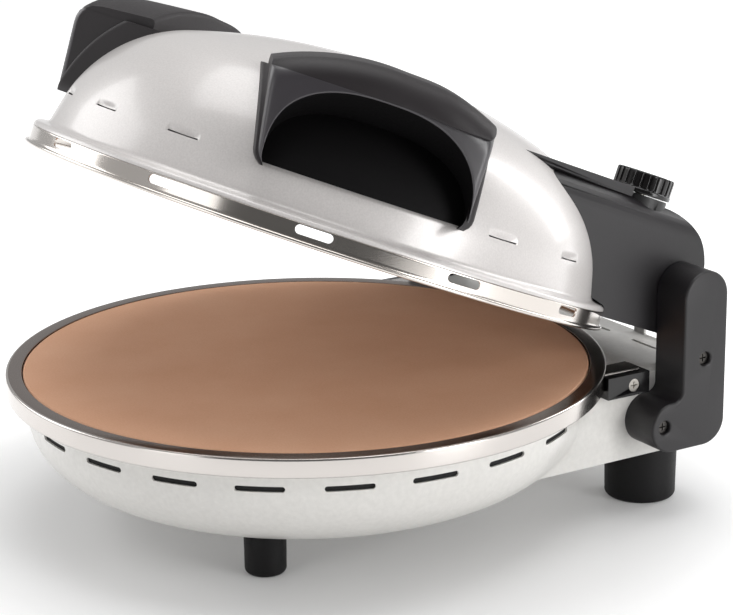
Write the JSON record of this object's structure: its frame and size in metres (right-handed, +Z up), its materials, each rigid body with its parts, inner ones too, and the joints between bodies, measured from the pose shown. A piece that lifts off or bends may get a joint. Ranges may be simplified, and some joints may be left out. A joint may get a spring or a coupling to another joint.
{
  "type": "electric pizza oven",
  "caption": "Countertop pizza oven: stone bed in a round steel pan, hinged domed lid with side grips, twin upright arms, rear box and rotary thermostat.",
  "frame": {"origin": "centre of the whole part's footprint, on the table under the feet, with the lid standing open at its rest angle", "axes": "+Z up, -Y to the front where the lid opens, +X to the side with the thermostat knob"},
  "size_m": [0.3536, 0.3868, 0.2964],
  "materials": {
    "pearl_enamel": "glossy pearl",
    "pan_enamel": "satin",
    "polished_steel": "polished",
    "brushed_trim": "brushed",
    "reflector_metal": "satin",
    "heater_sheath": "dull, heat darkened",
    "clip_steel": "plain",
    "zinc_screw": "zinc plated",
    "baking_stone": "matt fired clay",
    "charcoal_plastic": "satin moulded",
    "black_plastic": "matt moulded",
    "black_bracket": "black painted",
    "foot_plastic": "matt moulded",
    "ceramic": "glazed ceramic and phenolic",
    "cord_gland_rubber": "matt"
  },
  "bodies": {
    "base": {"base_pan": "pan_enamel", "lower_reflector": "reflector_metal", "lower_heater": "heater_sheath", "lower_heater_clips": "clip_steel", "stone": "baking_stone", "trim_ring": "brushed_trim", "ring_clips": "black_plastic", "clip_screws": "zinc_screw", "rear_housing": "pan_enamel", "rear_bottom_cover": "pan_enamel", "terminal_block": "ceramic", "cord_gland": "cord_gland_rubber", "hinge_bracket_left": "black_bracket", "hinge_bracket_right": "black_bracket", "hinge_pins": "zinc_screw", "hinge_arm_left": "charcoal_plastic", "hinge_arm_right": "charcoal_plastic", "arm_screws": "zinc_screw", "front_feet": "foot_plastic", "rear_feet": "foot_plastic", "foot_screws": "zinc_screw"},
    "lid": {"lid_dome": "pearl_enamel", "lid_rim": "polished_steel", "upper_reflector": "reflector_metal", "upper_heater": "heater_sheath", "upper_heater_clips": "clip_steel", "handle_left": "charcoal_plastic", "handle_right": "charcoal_plastic", "handle_screws": "zinc_screw", "control_box": "charcoal_plastic", "control_box_top": "charcoal_plastic", "control_box_floor": "black_plastic", "box_screws": "zinc_screw", "thermostat": "ceramic", "knob_collar": "black_plastic"},
    "knob": {"knob": "black_plastic", "knob_shaft": "zinc_screw"}
  },
  "joints": [
    {"name": "lid_hinge", "type": "hinge", "parent": "base", "child": "lid", "pos_m": [0, 0.1719, 0.112], "axis": [-1, 0, 0], "range_deg": [-22.4, 60]},
    {"name": "knob_turn", "type": "hinge", "parent": "lid", "child": "knob", "pos_m": [0.099, 0.15444, 0.19166], "axis": [0, -0.3811, -0.9245], "range_deg": [0, 270]}
  ]
}
